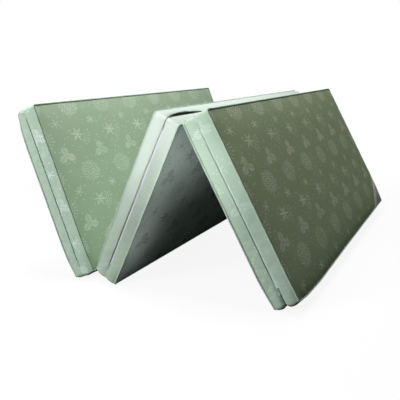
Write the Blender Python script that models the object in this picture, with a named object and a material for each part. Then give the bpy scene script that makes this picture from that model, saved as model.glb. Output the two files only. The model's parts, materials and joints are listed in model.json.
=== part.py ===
"""Folding mattress: three foam panels in zipped covers, joined by two cloth hinges.

Run with  blender --background --python part.py  or from Blender's text editor.
Metres, +Z up. The mattress stands as it does in use between nights, in a zigzag: the left and
middle panels make a V, the middle and right panels a tent. Y runs along the hinges, and the zips
face -Y. The upper side of a panel is its sleeping side, the lower side goes on the floor.
The origin is on the floor, under the middle of the whole.

A panel's own frame has x from its foot to its top end, y along the hinges and z from its lower
to its upper side. A section of the cover is given by its inset, from the panel's outermost side
plane inwards, and by its level, from the middle seam towards one of the two faces.
"""
import math

import bmesh
import bpy
from mathutils import Matrix, Vector

MM = 0.001

# Panel
PANEL_LENGTH = 630 * MM
PANEL_WIDTH = 1370 * MM
PANEL_THICKNESS = 92 * MM
CORNER_RADIUS = 20 * MM
LEAST_CORNER = 3 * MM
CORNER_STEPS = 4
MIDDLE_TILT = math.radians(27.5)

# Cover
CLOTH = 1.5 * MM
FIT_GAP = 0.3 * MM
SEAM_DEPTH = 6 * MM
FACE_CROWN = 5 * MM
CROWN_REACH = 100 * MM
WELT_RADIUS = 2.2 * MM
WELT_SIDES = 8
WELT_INSET = 3.3 * MM
WELT_DROP = 1.4 * MM
WELT_CLEARANCE = 0.4 * MM
CORE_EDGE_SLACK = 0.5 * MM
FOOT_FLAT = 0.5 * MM

# Shares of half the thickness and of the seam's depth, from the middle seam out to the welt
BAND_LEVEL_SHARES = (0.01, 0.08, 0.19, 0.36, 0.57, 0.78, 0.91)
BAND_INSET_SHARES = (1.00, 0.72, 0.36, 0.09, 0.00, 0.08, 0.28)
# Shares of the crown's reach and of its height, from beside the welt to the flat middle of the face
CROWN_REACH_SHARES = (0.00, 0.065, 0.214, 0.522, 1.00)
CROWN_HEIGHT_SHARES = (0.00, 0.36, 0.72, 0.94, 1.00)

# Cloth hinges: how far each fold line stands off the faces and off the four panel ends
FOLD_LIFT = 3 * MM
LEFT_FOOT_SETBACK = -6 * MM
MIDDLE_FOOT_SETBACK = 9 * MM
MIDDLE_TOP_SETBACK = 8 * MM
RIGHT_TOP_SETBACK = 2 * MM
HINGE_CLOTH = 0.6 * MM
HINGE_END_MARGIN = 26 * MM
FOLD_RADIUS = 0.8 * MM
FOLD_STEPS = 8

# Zips, in the middle seam of each panel's front
ZIP_START = 50 * MM
ZIP_TOP_MARGIN = 40 * MM
ZIP_SLOT_HALF = 2.5 * MM
ZIP_TAPE_WIDTH = 12 * MM
ZIP_TAPE_THICKNESS = 1 * MM
ZIP_TAPE_SPLIT = 0.5 * MM
ZIP_COIL_HALF = 2 * MM
ZIP_COIL_THICKNESS = 1.7 * MM
ZIP_COIL_BEVEL = 0.5 * MM
ZIP_STOP_LENGTH = 3 * MM
SLIDER_LENGTH = 12 * MM
SLIDER_HALF_WIDTH = 3.8 * MM
SLIDER_PLATE = 1.2 * MM
SLIDER_STEM_HALF = 2.1 * MM
SLIDER_STEM = 1 * MM
SLIDER_BEVEL = 0.4 * MM
BRIDGE_LENGTH = 7 * MM
BRIDGE_HALF_WIDTH = 1 * MM
BRIDGE_BAR = 0.8 * MM
BRIDGE_OPENING = 1.4 * MM
PULL_LENGTH = 19 * MM
PULL_HALF_WIDTH = 2.6 * MM
PULL_THICKNESS = 0.8 * MM
PULL_EYE_LENGTH = 5.5 * MM
PULL_EYE_HALF_WIDTH = 1.4 * MM
PULL_PIN = 0.8 * MM
PULL_CORNER = 1 * MM
PULL_CORNER_STEPS = 2
JOIN_DEPTH = 0.2 * MM

HALF_THICKNESS = PANEL_THICKNESS / 2
ZIP_END = PANEL_LENGTH - ZIP_TOP_MARGIN
PANEL_SIDES = {"left": 1, "middle": -1, "right": 1}


def clear_scene():
    for item in list(bpy.data.objects):
        bpy.data.objects.remove(item, do_unlink=True)


def finish(name, colour, roughness, metallic=0.0):
    material = bpy.data.materials.new(name)
    material.use_nodes = True
    shader = material.node_tree.nodes["Principled BSDF"]
    shader.inputs["Base Color"].default_value = (*colour, 1.0)
    shader.inputs["Roughness"].default_value = roughness
    shader.inputs["Metallic"].default_value = metallic
    material.diffuse_color = (*colour, 1.0)
    return material


def make_finishes():
    return {
        "foam": finish("foam", (0.83, 0.78, 0.55), 0.95),
        "face": finish("woven_face_cloth", (0.20, 0.27, 0.19), 0.60),
        "boxing": finish("boxing_cloth", (0.42, 0.58, 0.46), 0.65),
        "welt": finish("welt_cord_cloth", (0.46, 0.60, 0.48), 0.65),
        "hinge": finish("hinge_cloth", (0.34, 0.47, 0.37), 0.70),
        "tape": finish("zip_tape", (0.30, 0.40, 0.36), 0.75),
        "coil": finish("zip_coil_nylon", (0.62, 0.70, 0.72), 0.40),
        "metal": finish("zip_metal", (0.55, 0.56, 0.56), 0.35, 1.0),
    }


def rounded_rectangle(centre_x, centre_y, half_x, half_y, radius, steps):
    """Points round a rectangle with round corners, counter-clockwise."""
    points = []
    for corner, (side_x, side_y) in enumerate(((1, 1), (-1, 1), (-1, -1), (1, -1))):
        for step in range(steps + 1):
            angle = (corner + step / steps) * math.pi / 2
            x = centre_x + side_x * (half_x - radius) + radius * math.cos(angle)
            y = centre_y + side_y * (half_y - radius) + radius * math.sin(angle)
            points.append((x, y))
    return points


def panel_outline(inset):
    """The panel's plan, drawn in by an inset."""
    return rounded_rectangle(
        PANEL_LENGTH / 2,
        0.0,
        PANEL_LENGTH / 2 - inset,
        PANEL_WIDTH / 2 - inset,
        max(CORNER_RADIUS - inset, LEAST_CORNER),
        CORNER_STEPS,
    )


def bridge_rings(name, rings, closed):
    """A mesh through rings of points: a closed tube of rings, or a stack with two flat ends."""
    mesh = bmesh.new()
    loops = [[mesh.verts.new(point) for point in ring] for ring in rings]
    pairs = list(zip(loops, loops[1:]))
    if closed:
        pairs.append((loops[-1], loops[0]))
    else:
        mesh.faces.new(loops[0])
        mesh.faces.new(loops[-1])
    for low, high in pairs:
        for index in range(len(low)):
            following = (index + 1) % len(low)
            mesh.faces.new((low[index], low[following], high[following], high[index]))
    bmesh.ops.recalc_face_normals(mesh, faces=mesh.faces)
    data = bpy.data.meshes.new(name)
    mesh.to_mesh(data)
    mesh.free()
    return data


def panel_rings(profile, side):
    """Rings round the panel for a profile of (inset, level) on its upper (1) or lower (-1) half."""
    rings = []
    for inset, level in profile:
        height = HALF_THICKNESS + side * level
        rings.append([(x, y, height) for x, y in panel_outline(inset)])
    return rings


def band_outer():
    levels = [share * HALF_THICKNESS for share in BAND_LEVEL_SHARES]
    insets = [share * SEAM_DEPTH for share in BAND_INSET_SHARES]
    return list(zip(insets, levels))


def band_profile():
    """Boxing band: outer side from the seam to the welt, inner side back again."""
    outer = band_outer()
    inner = [(inset + CLOTH, level) for inset, level in (outer[6], outer[4], outer[2], outer[1], outer[0])]
    return outer + inner


def face_outer():
    edge = WELT_INSET + WELT_RADIUS + WELT_CLEARANCE
    insets = [edge + share * (CROWN_REACH - edge) for share in CROWN_REACH_SHARES]
    levels = [HALF_THICKNESS + share * FACE_CROWN for share in CROWN_HEIGHT_SHARES]
    return list(zip(insets, levels))


def face_profile():
    """Face cloth: under side from its flat middle to its edge, then the outer side inwards."""
    outer = face_outer()
    under = [(inset, level - CLOTH) for inset, level in (outer[4], outer[2], outer[0])]
    return under + outer


def welt_profile():
    """Welt cord: a round section in the corner between the face cloth and the band."""
    points = []
    for step in range(WELT_SIDES):
        angle = 2 * math.pi * (step + 0.5) / WELT_SIDES
        inset = WELT_INSET + WELT_RADIUS * math.cos(angle)
        level = HALF_THICKNESS - WELT_DROP + WELT_RADIUS * math.sin(angle)
        points.append((inset, level))
    return points


def core_profile():
    """Half of the foam block's section, from the middle seam to the flat middle of its face."""
    outer = band_outer()
    backing = CLOTH + FIT_GAP
    channel = outer[0][0] + backing
    face = face_outer()
    edge_inset = face[0][0] + CORE_EDGE_SLACK
    edge_level = face[0][1] - backing - CORE_EDGE_SLACK
    return [
        (channel, ZIP_TAPE_WIDTH + 2 * CLOTH),
        (outer[4][0] + backing, outer[4][1]),
        (outer[6][0] + backing, outer[6][1]),
        (edge_inset, edge_level),
        (face[2][0], face[2][1] - backing),
        (face[4][0], face[4][1] - backing),
    ]


def section_points():
    """Outermost points (x, z) of the panel's end section, at its foot and at its top end."""
    points = []
    for side in (-1, 1):
        for inset, level in band_outer() + face_outer() + welt_profile():
            height = HALF_THICKNESS + side * level
            points.append((inset, height))
            points.append((PANEL_LENGTH - inset, height))
    return points


def bisect_root(value, low, high):
    """Where a rising function crosses zero."""
    for _ in range(60):
        middle = (low + high) / 2
        if value(middle) > 0:
            high = middle
        else:
            low = middle
    return (low + high) / 2


def foot_drop(tilt):
    """Height of a tilted panel's own origin when its foot is pressed flat on the floor."""
    lowest = min(x * math.cos(tilt) + z * math.sin(tilt) for x, z in section_points())
    return -lowest - FOOT_FLAT


def height_of(tilt, x, z):
    return foot_drop(tilt) + x * math.cos(tilt) + z * math.sin(tilt)


def panel_matrix(tilt, side, origin_x):
    """A panel's frame in the world: side 1 leans to -X at its top, side -1 to +X."""
    along = Vector((-side * math.sin(tilt), 0.0, math.cos(tilt)))
    across = Vector((0.0, -side, 0.0))
    normal = along.cross(across)
    turn = Matrix((along, across, normal)).transposed().to_4x4()
    return Matrix.Translation(Vector((origin_x, 0.0, foot_drop(tilt)))) @ turn


def solve_layout():
    """Tilts, frames and fold lines that put all three feet on the floor."""
    above = PANEL_THICKNESS + FOLD_LIFT
    foot_fold = {"left": (-LEFT_FOOT_SETBACK, above), "middle": (-MIDDLE_FOOT_SETBACK, above)}
    top_fold = {
        "middle": (PANEL_LENGTH + MIDDLE_TOP_SETBACK, -FOLD_LIFT),
        "right": (PANEL_LENGTH + RIGHT_TOP_SETBACK, -FOLD_LIFT),
    }
    foot_height = height_of(MIDDLE_TILT, *foot_fold["middle"])
    top_height = height_of(MIDDLE_TILT, *top_fold["middle"])
    tilts = {"middle": MIDDLE_TILT}
    tilts["left"] = bisect_root(
        lambda tilt: height_of(tilt, *foot_fold["left"]) - foot_height, 0.0, 2 * MIDDLE_TILT
    )
    tilts["right"] = bisect_root(
        lambda tilt: top_height - height_of(tilt, *top_fold["right"]), 0.0, 2 * MIDDLE_TILT
    )

    def fold_point(frame, fold):
        return frame @ Vector((fold[0], 0.0, fold[1]))

    frames = {"middle": panel_matrix(MIDDLE_TILT, PANEL_SIDES["middle"], 0.0)}
    left_fold = fold_point(frames["middle"], foot_fold["middle"])
    right_fold = fold_point(frames["middle"], top_fold["middle"])
    for name, fold, target in (("left", foot_fold, left_fold), ("right", top_fold, right_fold)):
        trial = panel_matrix(tilts[name], PANEL_SIDES[name], 0.0)
        reach = fold_point(trial, fold[name]).x
        frames[name] = panel_matrix(tilts[name], PANEL_SIDES[name], target.x - reach)

    xs = []
    for frame in frames.values():
        xs += [(frame @ Vector((x, 0.0, z))).x for x, z in section_points()]
    centre = Matrix.Translation(Vector((-(min(xs) + max(xs)) / 2, 0.0, 0.0)))
    frames = {name: centre @ frame for name, frame in frames.items()}
    return {
        "tilts": tilts,
        "frames": frames,
        "left_fold": centre @ left_fold,
        "right_fold": centre @ right_fold,
        "foot_fold": foot_fold,
        "top_fold": top_fold,
    }


def empty(name, matrix):
    holder = bpy.data.objects.new(name, None)
    bpy.context.collection.objects.link(holder)
    holder.empty_display_size = PANEL_THICKNESS
    holder.matrix_world = matrix
    return holder


def piece(name, data, material, parent, location=(0.0, 0.0, 0.0)):
    item = bpy.data.objects.new(name, data)
    bpy.context.collection.objects.link(item)
    if not data.materials:
        data.materials.append(material)
    data.shade_smooth()
    data.set_sharp_from_angle(angle=math.radians(35))
    item.parent = parent
    item.location = location
    return item


def block(name, low, high):
    """A box between two corners."""
    mesh = bmesh.new()
    bmesh.ops.create_cube(mesh, size=1.0)
    size = [top - bottom for bottom, top in zip(low, high)]
    middle = [(top + bottom) / 2 for bottom, top in zip(low, high)]
    bmesh.ops.scale(mesh, vec=size, verts=mesh.verts)
    bmesh.ops.translate(mesh, vec=middle, verts=mesh.verts)
    data = bpy.data.meshes.new(name)
    mesh.to_mesh(data)
    mesh.free()
    return data


def bevel_mesh(data, width):
    """Chamfers every edge of a mesh."""
    mesh = bmesh.new()
    mesh.from_mesh(data)
    bmesh.ops.bevel(mesh, geom=mesh.edges, offset=width, segments=1, affect="EDGES", profile=0.5)
    mesh.to_mesh(data)
    mesh.free()
    return data


def cut_flat_foot(item, frame):
    """Cuts a panel's piece flat where it would go below the floor."""
    floor = frame.inverted()
    mesh = bmesh.new()
    mesh.from_mesh(item.data)
    normal = floor.to_3x3() @ Vector((0.0, 0.0, 1.0))
    point = floor @ Vector((0.0, 0.0, 0.0))
    if min((vert.co - point).dot(normal) for vert in mesh.verts) < 0:
        geometry = mesh.verts[:] + mesh.edges[:] + mesh.faces[:]
        cut = bmesh.ops.bisect_plane(
            mesh, geom=geometry, plane_co=point, plane_no=normal, clear_inner=True
        )
        rim = [part for part in cut["geom_cut"] if isinstance(part, bmesh.types.BMEdge)]
        bmesh.ops.edgeloop_fill(mesh, edges=rim)
        bmesh.ops.recalc_face_normals(mesh, faces=mesh.faces)
        mesh.to_mesh(item.data)
    mesh.free()


def cut_with(item, cutter, operation="DIFFERENCE"):
    change = item.modifiers.new(operation.lower(), "BOOLEAN")
    change.operation = operation
    change.solver = "EXACT"
    change.object = cutter


def hidden_tool(name, data, parent, location=(0.0, 0.0, 0.0)):
    tool = bpy.data.objects.new(name, data)
    bpy.context.collection.objects.link(tool)
    tool.parent = parent
    tool.location = location
    tool.hide_render = True
    tool.display_type = "WIRE"
    return tool


def zip_block(name, side, start, end, inset_low, inset_high, level_low, level_high):
    """A box in the front seam: along the panel, by its inset and by its level from the seam."""
    front = side * PANEL_WIDTH / 2
    near, far = sorted((front - side * inset_low, front - side * inset_high))
    return block(
        name,
        (start, near, HALF_THICKNESS + level_low),
        (end, far, HALF_THICKNESS + level_high),
    )


def zip_insets():
    """Insets of the zip's layers, from the foam outwards to the slider's bridge."""
    tape_outer = BAND_INSET_SHARES[1] * SEAM_DEPTH + CLOTH + WELT_CLEARANCE + ZIP_TAPE_SPLIT
    coil_inner = tape_outer - FIT_GAP
    coil_outer = coil_inner - ZIP_COIL_THICKNESS
    stem_inner = coil_outer - FIT_GAP
    plate_inner = stem_inner - SLIDER_STEM
    plate_outer = plate_inner - SLIDER_PLATE
    return {
        "tape_outer": tape_outer,
        "tape_inner": tape_outer + ZIP_TAPE_THICKNESS,
        "coil_inner": coil_inner,
        "coil_outer": coil_outer,
        "stem_inner": stem_inner,
        "plate_inner": plate_inner,
        "plate_outer": plate_outer,
        "pivot": plate_outer - BRIDGE_OPENING / 2,
        "bridge_outer": plate_outer - BRIDGE_OPENING - BRIDGE_BAR,
    }


def slider_mesh(side):
    """Slider about its own middle at the pull's pivot: plate, stem into the slot and bridge."""
    inset = zip_insets()
    pivot = inset["pivot"]

    def layer(name, half_x, inner, outer, half_z):
        near, far = sorted((side * (pivot - inner), side * (pivot - outer)))
        return block(name, (-half_x, near, -half_z), (half_x, far, half_z))

    plate = layer("plate", SLIDER_LENGTH / 2, inset["plate_inner"], inset["plate_outer"], SLIDER_HALF_WIDTH)
    bevel_mesh(plate, SLIDER_BEVEL)
    stem = layer(
        "stem", SLIDER_LENGTH / 2 - SLIDER_BEVEL, inset["stem_inner"],
        inset["plate_inner"] - JOIN_DEPTH, SLIDER_STEM_HALF,
    )
    arch = layer(
        "arch", BRIDGE_LENGTH / 2, inset["plate_outer"] + JOIN_DEPTH,
        inset["bridge_outer"], BRIDGE_HALF_WIDTH,
    )
    opening = layer(
        "opening", BRIDGE_LENGTH / 2 - BRIDGE_BAR, inset["plate_outer"],
        inset["plate_outer"] - BRIDGE_OPENING, 2 * BRIDGE_HALF_WIDTH,
    )
    body = bpy.data.objects.new("slider_body", plate)
    bpy.context.collection.objects.link(body)
    tools = [hidden_tool(data.name, data, None) for data in (stem, arch, opening)]
    for tool, operation in zip(tools, ("UNION", "UNION", "DIFFERENCE")):
        cut_with(body, tool, operation)
    depsgraph = bpy.context.evaluated_depsgraph_get()
    made = bpy.data.meshes.new_from_object(body.evaluated_get(depsgraph))
    for item in [body] + tools:
        bpy.data.objects.remove(item, do_unlink=True)
    return made


def pull_mesh():
    """Pull tab about its pin, hanging towards the panel's foot, with an eye round the bridge."""
    half_length = PULL_LENGTH / 2
    tab_centre = PULL_PIN / 2 - half_length
    eye_centre = -PULL_PIN / 2 - PULL_EYE_LENGTH / 2
    outer = rounded_rectangle(
        tab_centre, 0.0, half_length, PULL_HALF_WIDTH, PULL_CORNER, PULL_CORNER_STEPS
    )
    eye = rounded_rectangle(
        eye_centre, 0.0, PULL_EYE_LENGTH / 2, PULL_EYE_HALF_WIDTH, PULL_CORNER / 2, PULL_CORNER_STEPS
    )
    half = PULL_THICKNESS / 2
    rings = [[(x, height, z) for x, z in loop] for loop, height in
             ((outer, -half), (outer, half), (eye, half), (eye, -half))]
    return bridge_rings("zip_pull", rings, closed=True)


def make_foam(name, finishes, holder, location):
    profile = core_profile()
    lower = panel_rings(profile[::-1], -1)
    upper = panel_rings(profile, 1)
    data = bridge_rings(name, lower + upper, closed=False)
    return piece(name, data, finishes["foam"], holder, location)


def make_cover(panel, finishes, holder, location):
    """Two face cloths, two boxing bands and two welts."""
    items = []
    for word, side in (("upper", 1), ("lower", -1)):
        face = bridge_rings(f"{panel}_{word}_face_cloth", panel_rings(face_profile(), side), closed=False)
        items.append(piece(face.name, face, finishes["face"], holder, location))
        band = bridge_rings(f"{panel}_{word}_boxing_band", panel_rings(band_profile(), side), closed=True)
        items.append(piece(band.name, band, finishes["boxing"], holder, location))
        welt = bridge_rings(f"{panel}_{word}_welt", panel_rings(welt_profile(), side), closed=True)
        items.append(piece(welt.name, welt, finishes["welt"], holder, location))
    return items


def make_zip(panel, finishes, holder, location):
    """Tapes, coil, stops, slider and pull in the front seam, closed at the foot."""
    side = PANEL_SIDES[panel]
    inset = zip_insets()
    for word, direction in (("upper", 1), ("lower", -1)):
        low, high = sorted((direction * ZIP_TAPE_SPLIT, direction * ZIP_TAPE_WIDTH))
        tape = zip_block(
            f"{panel}_zip_{word}_tape", side, ZIP_START, ZIP_END,
            inset["tape_inner"], inset["tape_outer"], low, high,
        )
        piece(tape.name, tape, finishes["tape"], holder, location)
    coil = zip_block(
        f"{panel}_zip_coil", side,
        ZIP_START + ZIP_STOP_LENGTH + FIT_GAP, ZIP_END - ZIP_STOP_LENGTH - FIT_GAP,
        inset["coil_inner"], inset["coil_outer"], -ZIP_COIL_HALF, ZIP_COIL_HALF,
    )
    piece(coil.name, bevel_mesh(coil, ZIP_COIL_BEVEL), finishes["coil"], holder, location)
    for word, start in (("foot", ZIP_START), ("top", ZIP_END - ZIP_STOP_LENGTH)):
        stop = zip_block(
            f"{panel}_zip_{word}_stop", side, start, start + ZIP_STOP_LENGTH,
            inset["coil_inner"], inset["plate_inner"], -ZIP_COIL_HALF, ZIP_COIL_HALF,
        )
        piece(stop.name, bevel_mesh(stop, ZIP_COIL_BEVEL / 2), finishes["metal"], holder, location)
    place = Vector(location) + Vector(slider_place(side))
    slider = piece(f"{panel}_zip_slider", slider_mesh(side), finishes["metal"], holder, place)
    piece(f"{panel}_zip_pull", pull_mesh(), finishes["metal"], slider)


def slider_place(side):
    """The pull's pivot in the panel's frame, with the slider against the foot stop."""
    along = ZIP_START + ZIP_STOP_LENGTH + FIT_GAP + SLIDER_LENGTH / 2
    return (along, side * (PANEL_WIDTH / 2 - zip_insets()["pivot"]), HALF_THICKNESS)


def slider_travel():
    """How far the slider runs up to the top stop."""
    return ZIP_END - ZIP_START - 2 * ZIP_STOP_LENGTH - 2 * FIT_GAP - SLIDER_LENGTH


def zip_slot(panel, holder, location):
    """Cutter for the opening that the zip shows through."""
    side = PANEL_SIDES[panel]
    slot = zip_block(
        f"{panel}_zip_slot_cutter", side, ZIP_START, ZIP_END,
        2 * SEAM_DEPTH, -SEAM_DEPTH, -ZIP_SLOT_HALF, ZIP_SLOT_HALF,
    )
    return hidden_tool(slot.name, slot, holder, location)


def leaf_section(fold, welt, rolled):
    """Section of a leaf from beside its welt to the fold, where it is rolled or stops short of one."""
    fold_point = Vector(fold)
    way = (fold_point - Vector(welt)).normalized()
    across = Vector((-way.y, way.x))
    half = HINGE_CLOTH / 2
    start = Vector(welt) + way * (WELT_RADIUS + WELT_CLEARANCE)
    points = [start - across * half, start + across * half]
    if not rolled:
        end = fold_point - way * (FOLD_RADIUS + FIT_GAP)
        return points + [end + across * half, end - across * half]
    neck = math.asin(half / FOLD_RADIUS)
    for step in range(FOLD_STEPS + 1):
        angle = (math.pi - neck) * (1 - 2 * step / FOLD_STEPS)
        points.append(fold_point + FOLD_RADIUS * (way * math.cos(angle) + across * math.sin(angle)))
    return points


def hinge_leaf(name, section, finishes, holder, location):
    """Half of a cloth hinge, as long as the panel is wide but for its margins."""
    half_width = PANEL_WIDTH / 2 - HINGE_END_MARGIN
    rings = [[(point.x, y, point.y) for point in section] for y in (-half_width, half_width)]
    data = bridge_rings(name, rings, closed=False)
    return piece(name, data, finishes["hinge"], holder, location)


def make_hinges(layout, finishes, holders, locations):
    """Leaves of the two cloth hinges: at the foot on the upper side, at the top on the lower."""
    upper_welt = (WELT_INSET, PANEL_THICKNESS - WELT_DROP)
    lower_welt = (PANEL_LENGTH - WELT_INSET, WELT_DROP)
    for side, folds, welt in (
        ("left", layout["foot_fold"], upper_welt),
        ("right", layout["top_fold"], lower_welt),
    ):
        for panel, fold in folds.items():
            section = leaf_section(fold, welt, rolled=panel == "middle")
            hinge_leaf(f"{side}_hinge_{panel}_leaf", section, finishes, holders[panel], locations[panel])


def main():
    clear_scene()
    finishes = make_finishes()
    layout = solve_layout()
    pivots = {"left": layout["foot_fold"]["left"], "middle": (0.0, 0.0), "right": layout["top_fold"]["right"]}
    holders = {}
    locations = {}
    for panel, frame in layout["frames"].items():
        x, z = pivots[panel]
        holders[panel] = empty(f"{panel}_panel_axis", frame @ Matrix.Translation(Vector((x, 0.0, z))))
        locations[panel] = (-x, 0.0, -z)
    for panel, frame in layout["frames"].items():
        holder = holders[panel]
        location = locations[panel]
        make_foam(f"{panel}_foam_core", finishes, holder, location)
        slot = zip_slot(panel, holder, location)
        for item in make_cover(panel, finishes, holder, location):
            cut_flat_foot(item, frame)
            if item.name.endswith("boxing_band"):
                cut_with(item, slot)
        make_zip(panel, finishes, holder, location)
    make_hinges(layout, finishes, holders, locations)
    bpy.context.view_layer.update()
    return layout


if __name__ == "__main__":
    main()
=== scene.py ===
"""Looks of the folding mattress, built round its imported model.

Each panel has a zipped cover over a foam block: two woven face cloths, two boxing bands that meet in
a drawn-in middle seam, and piping where they are sewn together. Two cloth hinges join the panels.
Everything is in metres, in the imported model's frame: +Z up, the zips on the -Y side.

A panel's own frame has x from its foot to its top end, y along the hinges and z from its lower to its
upper side. Cloth coordinates, in metres, are kept in a UV map: along the hinges from the zip side, and
up from the foot. On the boxing they run along the edge and across it.
"""

import json
import math

import bpy
import numpy as np
from mathutils import Matrix, Vector


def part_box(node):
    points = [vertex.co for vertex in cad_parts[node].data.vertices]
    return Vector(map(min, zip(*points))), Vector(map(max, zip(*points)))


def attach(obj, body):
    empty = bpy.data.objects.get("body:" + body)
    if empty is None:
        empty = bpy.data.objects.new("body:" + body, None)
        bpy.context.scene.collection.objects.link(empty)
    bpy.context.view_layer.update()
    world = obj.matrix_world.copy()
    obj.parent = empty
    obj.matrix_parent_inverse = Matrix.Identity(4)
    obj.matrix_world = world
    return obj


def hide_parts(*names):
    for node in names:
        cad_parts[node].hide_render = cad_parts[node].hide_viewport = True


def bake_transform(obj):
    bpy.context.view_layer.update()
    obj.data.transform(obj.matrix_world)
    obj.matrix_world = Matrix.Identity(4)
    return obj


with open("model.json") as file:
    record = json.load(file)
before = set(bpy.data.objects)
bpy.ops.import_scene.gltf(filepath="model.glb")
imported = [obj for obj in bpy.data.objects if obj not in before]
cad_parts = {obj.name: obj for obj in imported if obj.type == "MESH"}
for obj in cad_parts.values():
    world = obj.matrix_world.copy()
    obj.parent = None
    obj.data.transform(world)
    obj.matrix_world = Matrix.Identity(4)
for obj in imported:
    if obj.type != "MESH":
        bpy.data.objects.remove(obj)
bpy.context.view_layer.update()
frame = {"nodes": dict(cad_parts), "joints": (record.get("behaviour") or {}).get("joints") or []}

MM = 0.001

# Panels, and which way each one's own y faces the zips
FRONTS = {"left": 1, "middle": -1, "right": 1}
BACKING = 1.8 * MM
FACE_CROWN = 5 * MM

# Cover: cells of the cloth grid along and across the panel, and rows round its boxing
CELLS_ALONG = 84
CELLS_ACROSS = 96
BOXING_CUTS = 17
CELL_EASE = 0.5
BOXING_EASE = 1.45
FOOT_CORNER = 14 * MM
TOP_CORNER = 12 * MM
LEAST_CORNER = 3 * MM
CROWN_REACH = 110 * MM
WELT_INSET = 2.2 * MM
WELT_BLEND = 55 * MM
SEAM_DEPTH = 1 * MM
GROOVE_WIDTH = 5 * MM
END_REACH = 62 * MM
TOP_SEAM_REACH = 30 * MM
CLOTH = 1 * MM
# Past this level a point is on a face, and this near an edge it is on that side's band
FACE_LEVEL = 0.999
EDGE_BAND = 14 * MM

# Zip opening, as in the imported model
ZIP_START = 50 * MM
ZIP_TOP_MARGIN = 40 * MM
SLOT_HALF = 2.7 * MM
SLOT_END = 9 * MM
SLOT_REACH = 6 * MM
PULL_DIP = 3.6 * MM
PULL_DIP_REACH = 8 * MM
COIL_DEPTH = 5.5 * MM
TAPE_EDGE_DEPTH = 4.62 * MM
COIL_PITCH = 1.5 * MM
COIL_WIRE = 0.3 * MM
TURN_POINTS = 6

# Piping, hinges and stitching
PIPING_RADIUS = 2.5 * MM
HINGE_CLOTH = 0.9 * MM
HINGE_CELLS = 120
STITCH_LENGTH = 3.4 * MM
STITCH_PITCH = 4.6 * MM
STITCH_RADIUS = 0.4 * MM
EDGE_STITCH_LEVEL = 17 / 18
ZIP_STITCH_LEVEL = 3 / 18

# Corner patch on the right panel: its two straight edges, its webbing and its black tip, a dark sheet that
# stands for the deep shadow at the corner
PATCH_ALONG = 130 * MM
PATCH_ACROSS = 187 * MM
PATCH_INSET = 3 * MM
PATCH_WEBBING = 25 * MM
PATCH_TIP = 34 * MM
PATCH_CLOTH = 0.7 * MM

# How each panel's cover sits, in mm: its middle seam's depth at the foot and the top end, how far the
# end edges are rounded in (top_low is the top end's lower edge), how its seam wanders, the open lens at
# its top end, how much wider the slot is below the coil, how proud its upper lip stands between two
# places, how far the foot end sags at its lower and upper edge, and the puckers in its lower band
PLAIN_COVER = {
    "top_round": 1, "top_low": 1, "gap": 0, "slot_low": 0, "lip": 0, "lip_from": 0, "lip_to": 1,
    "foot_low": 8, "foot_high": 0, "pucker": 0, "pucker_at": 0,
}
COVERS = {
    "left": {**PLAIN_COVER, "foot_seam": 1.5, "top_seam": 8, "foot_round": 9, "top_low": 9, "wander": 0.5,
             "lip": 2.5, "lip_from": 230, "lip_to": 470},
    "middle": {**PLAIN_COVER, "foot_seam": 1.5, "top_seam": 2.5, "foot_round": 6, "wander": 0.3,
               "gap": 15, "slot_low": 1, "pucker": 1, "pucker_at": 350},
    "right": {**PLAIN_COVER, "foot_seam": 12, "top_seam": 1, "foot_round": 8, "wander": 1.1,
              "lip": 0.8, "lip_from": 300, "lip_to": 600, "foot_high": 17},
}
# Where the woven figures lie on each panel's boxing, across and along it, and how clearly they show on its
# upper and lower band and on its faces; the right panel's stronger figures on its faces are painted sheen, for
# the satin seen at a grazing angle
BOXING_WEAVE = {
    "left": {"across": 8 * MM, "along": 168 * MM, "upper": 1.1, "lower": 0.15, "face": 1.0},
    "middle": {"across": 60 * MM, "along": 90 * MM, "upper": 0.12, "lower": 0.12, "face": 1.0},
    "right": {"across": 25 * MM, "along": 98 * MM, "upper": 0.5, "lower": 0.7, "face": 1.6},
}
PUCKER_REACH = 200 * MM
GAP_START = 12 * MM
GAP_END = 250 * MM

# Sag of a foot end's upper edge, as shares of the whole, at shares of the width from the zips
SAG_PLACE_SHARES = (0.0, 0.06, 0.16, 0.45, 1.0)
SAG_SHARES = (0.35, 0.8, 1.0, 0.6, 0.1)

# Cloth simulation
PRESSURE = 4
SIM_FRAMES = 20
SWELL_CAP = 2.5 * MM
FACE_SWELL = 0.4

# Woven figures: repeat across and along the panel, and each figure's place in the repeat
REPEAT_ACROSS = 199 * MM
REPEAT_ALONG = 254 * MM
WEAVE_STRETCH = 1.32
# A Wave texture of scale 1 repeats its bands at this length
WAVE_REPEAT = 0.314
SPRIG_AT = (75 * MM, 428 * MM)
LACE_AT = (175 * MM, 356 * MM)
STAR_AT = (170 * MM, 499 * MM)
SPARK_AT = (74 * MM, 547 * MM)

# Camera, fitted to the panels' corners in the photo
CAMERA_PLACE = (0.98289, -2.14537, 0.70373)
CAMERA_TURN = (math.pi / 2 - 0.22389, 0.0421, 0.47789)
CAMERA_LENS = 50.136

# Studio: how much of the white floor is a plain glow to the camera, and the world's light
FLOOR_GLOW = 0.9
AMBIENT = 0.02
FLOOR_GLOW_REACH = (0.9, 2.4)


# Selection and mesh helpers

def object_mode():
    if bpy.context.mode != "OBJECT":
        bpy.ops.object.mode_set(mode="OBJECT")


def only(*items):
    """Deselects everything, then selects these objects, the first one active."""
    object_mode()
    bpy.ops.object.select_all(action="DESELECT")
    for item in items:
        item.select_set(True)
    bpy.context.view_layer.objects.active = items[0]


def newest(name):
    item = bpy.context.object
    item.name = name
    item.data.name = name
    return item


def copy_of(item, name):
    """A copy of a piece, with its own mesh."""
    piece = item.copy()
    piece.data = item.data.copy()
    bpy.context.scene.collection.objects.link(piece)
    piece.name = name
    piece.data.name = name
    return piece


def points_of(item):
    points = np.empty(len(item.data.vertices) * 3)
    item.data.vertices.foreach_get("co", points)
    return points.reshape(-1, 3)


def place_points(item, points):
    item.data.vertices.foreach_set("co", np.asarray(points, float).ravel())
    item.data.update()


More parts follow.
